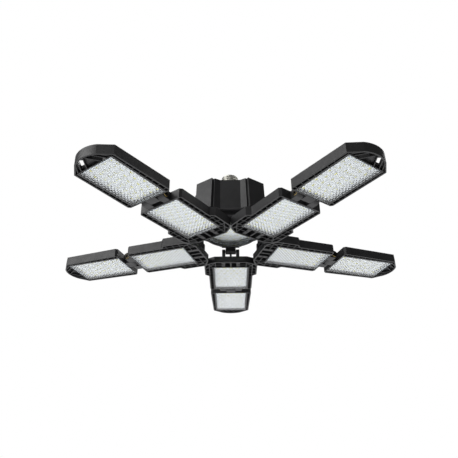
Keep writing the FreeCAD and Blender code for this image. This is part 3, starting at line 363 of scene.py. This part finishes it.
def finish_node(node, finish):
    """Gives a CAD piece that keeps its own mesh its finish."""
    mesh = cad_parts[node].data
    mesh.materials.clear()
    mesh.materials.append(finish)


black_glass = plain_finish("black_glass", (0.012, 0.012, 0.014), 0.12)
finish_node("shell_insulator", black_glass)
tinned_contact = plain_finish("tinned_contact", (0.74, 0.70, 0.60), 0.3, metal=1.0, mottle=0.2)
finish_node("base_contact", tinned_contact)


# ---------------------------------------------------------------- driver inside the housing
# The driver is a green glass-fibre board on posts, with a wound ferrite transformer and three
# sleeved capacitors. Five zinc-plated screws hold the housing to its base plate, and five
# zinc-plated bolts are the root hinges of the arms.
green_laminate = plain_finish("green_laminate", (0.03, 0.16, 0.06), 0.4, mottle=0.3)
finish_node("driver_board", green_laminate)
ferrite = plain_finish("ferrite", (0.06, 0.06, 0.062), 0.55, mottle=0.4, grain=0.00005)
finish_node("transformer", ferrite)
shrink_sleeve = plain_finish("shrink_sleeve", (0.03, 0.05, 0.12), 0.3, mottle=0.15)
finish_node("capacitors", shrink_sleeve)
zinc = plain_finish("bright_zinc", (0.62, 0.63, 0.65), 0.32, metal=1.0, mottle=0.2)
finish_node("housing_screws", zinc)
finish_node("root_hinge_bolts", zinc)


# ---------------------------------------------------------------- panel lenses
# Each panel is closed by a clear polycarbonate lens: a flat face in the frame's window, small
# pyramids moulded on its inner side, and a skirt that stands on the LED board.
arm_step = 360 / len(ARMS)                # degrees from one arm to the next


def on_arm(points, arm):
    """Points along the first arm, turned about the lamp's axis to another arm."""
    angle = math.radians(arm_step * (arm - 1))
    turned = points.copy()
    turned[:, 0] = points[:, 0] * math.cos(angle) - points[:, 1] * math.sin(angle)
    turned[:, 1] = points[:, 0] * math.sin(angle) + points[:, 1] * math.cos(angle)
    return turned


def clear_lens_finish():
    """Clear polycarbonate. Lamp light goes straight through it, so that the board is lit."""
    finish, tree, shader = new_finish("clear_lens")
    shader.inputs["Base Color"].default_value = (0.96, 0.975, 0.985, 1)
    shader.inputs["Transmission Weight"].default_value = 1.0
    shader.inputs["Roughness"].default_value = 0.05
    shader.inputs["IOR"].default_value = 1.49
    open_pane = tree.nodes.new("ShaderNodeBsdfTransparent")
    open_pane.inputs["Color"].default_value = (0.93, 0.95, 0.96, 1)
    mix = tree.nodes.new("ShaderNodeMixShader")
    path = tree.nodes.new("ShaderNodeLightPath")
    out = tree.nodes["Material Output"]
    tree.links.new(path.outputs["Is Shadow Ray"], mix.inputs["Fac"])
    tree.links.new(shader.outputs[0], mix.inputs[1])
    tree.links.new(open_pane.outputs[0], mix.inputs[2])
    tree.links.new(mix.outputs[0], out.inputs["Surface"])
    return finish


prism_step = 2.65 * MM                    # between a pyramid's tip and its nearest valley point
prism_height = 0.68 * MM
prism_foot = 0.9 * MM                     # above the rim plane: the thin skin under the pyramids
lens_edge = 0.35 * MM
skirt_wall = 1.4 * MM
face_thickness = 2.2 * MM
face_gap = 1.2 * MM                       # the skirt is wider than the face by this on each side


def prism_lens(start, end, half, rim, top):
    """A closed clear solid. Its inner side is a grid whose points are high where row plus column
    is even and low where it is odd, so that square pyramids stand cornerwise to the edges. The
    walls are a profile that follows the grid's border, at each step's own half length and half
    width, down to a flat face."""
    foot_u = (end - start) / 2 - skirt_wall
    foot_v = half - skirt_wall
    rows = round(2 * foot_u / prism_step)
    columns = round(2 * foot_v / prism_step)
    shares = np.stack(np.meshgrid(np.linspace(-1, 1, rows + 1), np.linspace(-1, 1, columns + 1),
                                  indexing="ij"), axis=2).reshape(-1, 2)
    index = np.arange((rows + 1) * (columns + 1)).reshape(rows + 1, columns + 1)
    parity = np.add.outer(np.arange(rows + 1), np.arange(columns + 1)) % 2
    border = np.concatenate([index[:-1, 0], index[-1, :-1], index[:0:-1, -1], index[0, :0:-1]])
    ring_length = len(border)
    a, b = index[:-1, :-1].ravel(), index[1:, :-1].ravel()
    c, d = index[1:, 1:].ravel(), index[:-1, 1:].ravel()
    high_first = (parity[:-1, :-1] == 0).ravel()[:, None]
    one = np.where(high_first, np.stack([a, d, b], axis=1), np.stack([a, c, b], axis=1))
    other = np.where(high_first, np.stack([c, b, d], axis=1), np.stack([a, d, c], axis=1))
    full_u = (end - start) / 2
    steps = [(foot_u, foot_v, top), (full_u, half, top), (full_u, half, face_thickness),
             (full_u, half - face_gap, face_thickness), (full_u, half - face_gap, lens_edge),
             (full_u - lens_edge, half - face_gap - lens_edge, 0)]
    middle_u = (start + end) / 2

    def placed(at, size_u, size_v, height):
        return np.stack([at[:, 1] * size_v, middle_u + at[:, 0] * size_u,
                         rim + np.broadcast_to(height, len(at))], axis=1)

    relief = prism_foot + prism_height * (1 - parity.ravel())
    loops = [placed(shares[border], *step) for step in steps]
    base = len(shares)
    walls = shell_between(len(steps), ring_length) + base
    after = (np.arange(ring_length) + 1) % ring_length
    brim = np.stack([border, border[after], base + after, base + np.arange(ring_length)], axis=1)
    face_base = base + len(steps) * ring_length
    face_index = np.arange(len(shares)) + face_base
    face_index[border] = face_base - ring_length + np.arange(ring_length)
    face = face_index[np.stack([a, b, c, d], axis=1)]
    points = np.concatenate([placed(shares, foot_u, foot_v, relief), *loops,
                             placed(shares, full_u - lens_edge, half - face_gap - lens_edge, 0)])
    used = np.zeros(len(points), bool)
    faces = [*one.tolist(), *other.tolist(), *brim.tolist(), *walls.tolist(), *face.tolist()]
    for part in (one, other, brim, walls, face):
        used[part.ravel()] = True
    renumber = np.cumsum(used) - 1
    faces = [renumber[list(corners)].tolist() for corners in faces]
    return points[used], faces


clear_lens = clear_lens_finish()
for side in ("inner", "outer"):
    low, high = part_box("%s_lens_1" % side)
    points, faces = prism_lens(start=low.y, end=high.y, half=high.x, rim=low.z,
                               top=high.z - low.z)
    for arm in ARMS:
        made_piece("%s_lens_%d_prisms" % (side, arm), on_arm(points, arm), faces, [clear_lens],
                   "%s_panel_%d" % (side, arm),
                   stands_for=["%s_lens_%d" % (side, arm)])


# ---------------------------------------------------------------- LED boards
# Behind each lens lies an aluminium-core board with a white solder mask. Its LED packages are
# white frames round a yellow phosphor window, soldered on in staggered columns.
solder_mask = plain_finish("white_solder_mask", (0.83, 0.845, 0.86), 0.4, mottle=0.04)
package_white = plain_finish("package_white", (0.82, 0.82, 0.78), 0.5, mottle=0.05)
phosphor = plain_finish("phosphor", (0.72, 0.67, 0.07), 0.35, mottle=0.1)

package_side = 3.0 * MM
package_height = 0.8 * MM
window_side = 2.6 * MM
package_bevel = 0.15 * MM
package_seat = 0.05 * MM                  # how far a package is soldered into the board's face


def packages(places, level):
    """LED packages at many places: a closed frustum whose rim steps into a sunk phosphor window.
    All are one array, the sum of the places and one package's own points. They hang below the
    board."""
    half = package_side / 2
    window = window_side / 2
    rings = [(half, -package_seat), (half, package_height - package_bevel),
             (half - package_bevel, package_height),
             (window, package_height), (window - package_bevel, package_height - package_bevel)]
    unit = np.array([(-1, -1), (1, -1), (1, 1), (-1, 1)], float)
    one = np.concatenate([np.column_stack([unit * size, np.full(4, -height)])
                          for size, height in rings])
    faces = shell_between(len(rings), 4)[:, ::-1]
    lid = np.arange(4)[::-1] + 4 * (len(rings) - 1)
    base = np.arange(4)
    faces = np.concatenate([[base], faces, [lid]])
    count = len(places)
    centre = np.column_stack([places, np.full(count, level)])
    points = (centre[:, None, :] + one[None, :, :]).reshape(-1, 3)
    all_faces = (np.arange(count)[:, None, None] * len(one) + faces[None, :, :]).reshape(-1, 4)
    window_faces = 5                      # the window's four sloping sides and its floor
    finish = np.tile(np.array([1] * (len(faces) - window_faces) + [2] * window_faces), count)
    return points, all_faces, finish


def flat_board(low, high):
    """A plain plate between two corners, as eight points and six faces."""
    x, y, z = (low[0], high[0]), (low[1], high[1]), (low[2], high[2])
    points = np.array([(a, b, c) for c in z for b in y for a in x])
    faces = np.array([(0, 2, 3, 1), (4, 5, 7, 6), (0, 1, 5, 4),
                      (2, 6, 7, 3), (0, 4, 6, 2), (1, 3, 7, 5)])
    return points, faces


chip_pitch = 10.4 * MM
row_pitch = 10.0 * MM
chip_columns = 8
chip_rows = 5                             # in every other column, and one fewer between them
board_thickness = 1.6 * MM
for side in ("inner", "outer"):
    low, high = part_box("%s_led_board_1" % side)
    face_level = high.z - board_thickness
    plate_points, plate_faces = flat_board((low.x, low.y, face_level), high)
    middle_y = (low.y + high.y) / 2
    places = []
    for column in range(chip_columns):
        rows = chip_rows - column % 2
        along = middle_y + chip_pitch * (column - (chip_columns - 1) / 2)
        places += [(row_pitch * (row - (rows - 1) / 2), along) for row in range(rows)]
    chip_points, chip_faces, chip_finish = packages(np.array(places), face_level)
    points = np.concatenate([plate_points, chip_points])
    faces = np.concatenate([plate_faces, chip_faces + len(plate_points)])
    finish_of = np.concatenate([np.zeros(len(plate_faces), int), chip_finish])
    for arm in ARMS:
        made_piece("%s_led_board_%d_populated" % (side, arm), on_arm(points, arm), faces,
                   [solder_mask, package_white, phosphor], "%s_panel_%d" % (side, arm),
                   finish_of=finish_of,
                   stands_for=["%s_led_board_%d" % (side, arm)])


# ---------------------------------------------------------------- round lamp in the hub
# A round LED board, with three circles of packages round one in the middle, lies against a finned
# aluminium plate. Below it a clear lens cup, moulded with small six-sided prisms, sits in the
# black ring.
def chip_circles(pitch, circles):
    """Package places: one in the middle, then six more to each circle, evenly spaced on it."""
    places = [(0.0, 0.0)]
    for circle in range(1, circles + 1):
        angle = np.arange(6 * circle) * 2 * np.pi / (6 * circle)
        places += np.stack([pitch * circle * np.cos(angle), pitch * circle * np.sin(angle)],
                           axis=1).tolist()
    return np.array(places)


def disc(radius, low, high):
    """A round plate: two circles of points, a wall between them and two flat ends."""
    around = 96
    angle = np.linspace(0, 2 * np.pi, around, endpoint=False)
    rim = np.stack([radius * np.cos(angle), radius * np.sin(angle)], axis=1)
    points = np.concatenate([np.column_stack([rim, np.full(around, low)]),
                             np.column_stack([rim, np.full(around, high)])])
    index = np.arange(around)
    return points, [*shell_between(2, around).tolist(), index[::-1].tolist(),
                    (index + around).tolist()]


_, board_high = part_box("hub_led_board")
hub_face_level = board_high.z - board_thickness
hub_places = chip_circles(pitch=10.6 * MM, circles=3)
plate_points, plate_faces = disc(board_high.x, hub_face_level, board_high.z)
chip_points, chip_faces, chip_finish = packages(hub_places, hub_face_level)
made_piece("hub_led_board_populated", np.concatenate([plate_points, chip_points]),
           plate_faces + (chip_faces + len(plate_points)).tolist(),
           [solder_mask, package_white, phosphor], "hub",
           stands_for=["hub_led_board"],
           finish_of=np.concatenate([np.zeros(len(plate_faces), int), chip_finish]))

hub_prism_pitch = 2.3 * MM                # from one raised tip to the next
hub_prism_height = 0.35 * MM
hub_prism_foot = 2.45 * MM                # the floor's thickness under the prisms


def round_lens(radius, face_radius, face, seat, inside, top, wall):
    """A closed clear cup. Its floor's inner side is a flat lattice of equilateral triangles in
    which every third point along both lattice directions is a raised tip with six facets. Its
    wall is a profile turned about the axis."""
    around = 120
    pitch = hub_prism_pitch / 3
    reach = math.ceil(2 * radius / pitch)
    i, j = np.meshgrid(np.arange(-reach, reach + 1), np.arange(-reach, reach + 1), indexing="ij")
    x = pitch * (i + j / 2)
    y = pitch * j * math.sqrt(3) / 2
    floor_radius = radius - wall
    kept = np.hypot(x, y) < floor_radius - pitch / 2
    tip = ((i % 3 == 0) & (j % 3 == 0))[kept]
    lattice = np.stack([x[kept], y[kept]], axis=1)
    angle = np.linspace(0, 2 * np.pi, around, endpoint=False)
    ring = np.stack([np.cos(angle), np.sin(angle)], axis=1)
    flat = np.concatenate([ring * floor_radius, lattice])
    inside_only, merge_distance = 1, 1e-7
    skin = delaunay_2d_cdt([Vector(point) for point in flat], [], [list(range(around))],
                           inside_only, merge_distance)
    if len(skin[0]) != len(flat):
        raise ValueError("the lens lattice lost a point")
    relief = np.full(len(flat), inside)
    relief[around:] = face + hub_prism_foot + hub_prism_height * tip
    steps = [(floor_radius, top), (radius, top), (radius, seat), (face_radius, seat),
             (face_radius, face + lens_edge), (face_radius - lens_edge, face)]
    walls = np.concatenate([np.column_stack([ring * size, np.full(around, height)])
                            for size, height in steps])
    base = len(flat)
    index = np.arange(around)
    after = (index + 1) % around
    brim = np.stack([index, base + index, base + after, after], axis=1)
    walls_faces = shell_between(len(steps), around)[:, ::-1] + base
    lid = (base + (len(steps) - 1) * around + index)[::-1]
    points = np.concatenate([np.column_stack([flat, relief]), walls])
    return points, [*[list(face) for face in skin[2]], *brim.tolist(), *walls_faces.tolist(),
                    lid.tolist()]


lens_low, lens_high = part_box("hub_lens")
lip_height = 0.65 * MM                    # from the face up to the ring's lip, where the cup sits
inside_height = 2.85 * MM                 # from the face up to the foot of the cup's inner wall
points, faces = round_lens(radius=lens_high.x, face_radius=36.5 * MM, face=lens_low.z,
                           seat=lens_low.z + lip_height, inside=lens_low.z + inside_height,
                           top=lens_high.z, wall=skirt_wall)
made_piece("hub_lens_prisms", points, faces, [clear_lens], "hub",
           stands_for=["hub_lens"])


# ---------------------------------------------------------------- heat sinks
# Extruded aluminium plates with straight fins carry the boards' heat. They are left bare and
# satin, with the die's fine lines along the fins.
die_line_scale = 1100                     # noise cells per metre across the fins
die_line_stretch = 30                     # how much longer a cell is along the fins
first_arm_angle = 90                      # degrees from the X axis


def extruded(name, fin_angle):
    """Bare aluminium with fine lines: noise stretched along the fins, which lie at an angle from
    the X axis."""
    finish, tree, shader = new_finish(name)
    lines = noise_on(tree, die_line_scale, detail=3, stretch=die_line_stretch, turned=fin_angle)
    tone = tinted(tree, between(tree, lines, 0, 1), dark=(0.46, 0.47, 0.49),
                  light=(0.60, 0.61, 0.63))
    tree.links.new(tone, shader.inputs["Base Color"])
    tree.links.new(between(tree, lines, low=0.42, high=0.55), shader.inputs["Roughness"])
    shader.inputs["Metallic"].default_value = 1.0
    grained(tree, shader, lines, distance=0.00004, strength=0.6)
    return finish


finish_node("hub_heat_sink", extruded("extruded_hub", 0))
for arm in ARMS:
    arm_angle = math.radians(first_arm_angle + arm_step * (arm - 1))
    along_arm = extruded("extruded_arm_%d" % arm, arm_angle)
    for side in ("inner", "outer"):
        finish_node("%s_heat_sink_%d" % (side, arm), along_arm)


# ---------------------------------------------------------------- panel hinge bolts
# Each panel hinge turns on a steel bolt in a sleeve, with a socket head at either end. Both are
# yellow-passivated. The sockets' insides are painted near-black, a painted shade for their
# recesses, and the flats of the heads are painted the same near-black.
yellow_zinc = plain_finish("yellow_zinc", (0.46, 0.34, 0.13), 0.34, metal=1.0, mottle=0.35)
# A near-black metal finish: painted shade inside the hex sockets, and the same tone on the heads'
# flats.
socket_shade_and_dark_flats = plain_finish("socket_shade_and_dark_flats", (0.05, 0.045, 0.035), 0.4, metal=1.0, mottle=0.4)
bolt_half = 19.4 * MM                     # from the arm's middle to the head's flat
bolt_head = 2.6 * MM                      # the head's height along the bolt
bolt_head_radius = 4.2 * MM
bolt_shank_radius = 2.5 * MM
socket_radius = 2.2 * MM
socket_depth = 1.5 * MM
bolt_chamfer = 0.4 * MM
floor_centre = 0.1 * MM                   # radius of the facet in the middle of the socket's floor


def socket_bolt(reach, level):
    """A closed profile turned about the hinge's axis. The socket's loops take a hexagon's radius,
    which is its inner radius divided by the cosine of the angle from the middle of the nearest
    flat."""
    around = 48
    angle = np.linspace(0, 2 * np.pi, around, endpoint=False)
    flat = (angle + np.pi / 6) % (np.pi / 3) - np.pi / 6
    hexagon = 1 / np.cos(flat) * math.cos(math.pi / 6)
    end = [(bolt_half - socket_depth, floor_centre, False),
           (bolt_half - socket_depth, socket_radius, True),
           (bolt_half, socket_radius, True),
           (bolt_half, bolt_head_radius - bolt_chamfer, False),
           (bolt_half - bolt_chamfer, bolt_head_radius, False),
           (bolt_half - bolt_head, bolt_head_radius, False),
           (bolt_half - bolt_head, bolt_shank_radius, False)]
    profile = end + [(-along, size, six) for along, size, six in end[::-1]]
    rings = [np.stack([np.full(around, along), size * (hexagon if six else 1) * np.cos(angle),
                       size * (hexagon if six else 1) * np.sin(angle)], axis=1)
             for along, size, six in profile]
    points = np.concatenate(rings) + (0, reach, level)
    faces = shell_between(len(profile), around)[:, ::-1].tolist()
    index = np.arange(around)
    faces += [index.tolist(), (index + (len(profile) - 1) * around)[::-1].tolist()]
    # The socket floors and walls, the heads' flats at both ends and the two middle facets take the
    # near-black finish: painted shade in the sockets.
    dark_rows = (0, 1, 2, len(profile) - 4, len(profile) - 3, len(profile) - 2)
    finish_of = np.zeros(len(faces), int)
    for row in dark_rows:
        finish_of[row * around:(row + 1) * around] = 1
    finish_of[-2:] = 1
    return points, faces, finish_of


bolt_low, bolt_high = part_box("hinge_bolt_1")
points, faces, finish_of = socket_bolt(reach=(bolt_low.y + bolt_high.y) / 2,
                                       level=(bolt_low.z + bolt_high.z) / 2)
for arm in ARMS:
    made_piece("hinge_bolt_%d_turned" % arm, on_arm(points, arm), faces, [yellow_zinc, socket_shade_and_dark_flats],
               "inner_panel_%d" % arm, finish_of=finish_of,
               stands_for=["hinge_bolt_%d" % arm])
